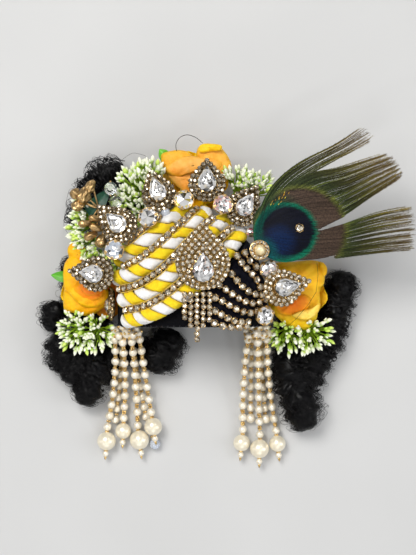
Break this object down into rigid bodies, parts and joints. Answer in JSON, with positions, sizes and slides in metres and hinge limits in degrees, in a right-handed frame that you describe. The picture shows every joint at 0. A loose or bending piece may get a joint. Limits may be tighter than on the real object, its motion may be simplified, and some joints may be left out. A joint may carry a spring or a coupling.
{
  "type": "mukut crown",
  "caption": "Small festive crown for a deity figure, lying on its back: felt cap, twisted cloth ropes, paved brooches, flowers, peacock feather, curly hair and pearl tassels.",
  "frame": {"origin": "floor under the middle of the crown's outline, the crown lying on its back", "axes": "+X to the right in a front view, +Y to the crown's top, +Z out of the crown's front, up from the floor"},
  "size_m": [0.1524, 0.1384, 0.0518],
  "materials": {
    "felt_black": "matte black felt",
    "velvet_black": "black velvet pile",
    "rope_cloth": "yellow and white twisted cloth",
    "gold_paved": "gold-tone claws set with clear stones",
    "crystal": "clear faceted, foil backed",
    "pearl": "cream pearl coating",
    "petal_yellow": "yellow-orange cloth petals",
    "bud_white": "white buds on lime green stalks",
    "bud_gold": "gold paint on paper buds",
    "leaf_green": "dark green waxed cloth",
    "feather": "olive barbs with a teal and navy eye",
    "hair_black": "black crimped synthetic hair"
  },
  "bodies": {
    "root": {"bead_faceted": "crystal", "bead_glass": "crystal", "brooch_centre": "gold_paved", "brooch_left": "gold_paved", "brooch_right": "gold_paved", "brooch_temple": "gold_paved", "brooch_top": "gold_paved", "brooch_top_left": "gold_paved", "brooch_top_right": "gold_paved", "brooch_upper_left": "gold_paved", "cap_shell": "felt_black", "centre_fringe": "gold_paved", "crystal_a": "crystal", "crystal_b": "crystal", "crystal_c": "crystal", "crystal_d": "crystal", "crystal_drop": "crystal", "crystal_e": "crystal", "crystal_temple": "crystal", "feather": "feather", "gold_buds": "bud_gold", "hair_left": "hair_black", "hair_right": "hair_black", "hair_top": "hair_black", "leaf_dark": "leaf_green", "pearl_l1": "pearl", "pearl_l3": "pearl", "pearl_l4": "pearl", "pearl_l5": "pearl", "pearl_r1": "pearl", "pearl_r2": "pearl", "pearl_r3": "pearl", "rope_1": "rope_cloth", "rope_2": "rope_cloth", "rope_3": "rope_cloth", "rope_4": "rope_cloth", "rope_chains": "gold_paved", "rose_left": "petal_yellow", "rose_right": "petal_yellow", "rose_top": "petal_yellow", "rosette": "gold_paved", "rosette_pearl": "pearl", "sprig_left": "bud_white", "sprig_low_left": "bud_white", "sprig_low_right": "bud_white", "sprig_top_left": "bud_white", "sprig_top_right": "bud_white", "stone_centre": "crystal", "stone_left": "crystal", "stone_right": "crystal", "stone_temple": "crystal", "stone_top": "crystal", "stone_top_left": "crystal", "stone_top_right": "crystal", "stone_upper_left": "crystal", "swag_chains": "gold_paved", "tassel_left": "pearl", "tassel_right": "pearl", "velvet_pad": "velvet_black"}
  },
  "joints": []
}
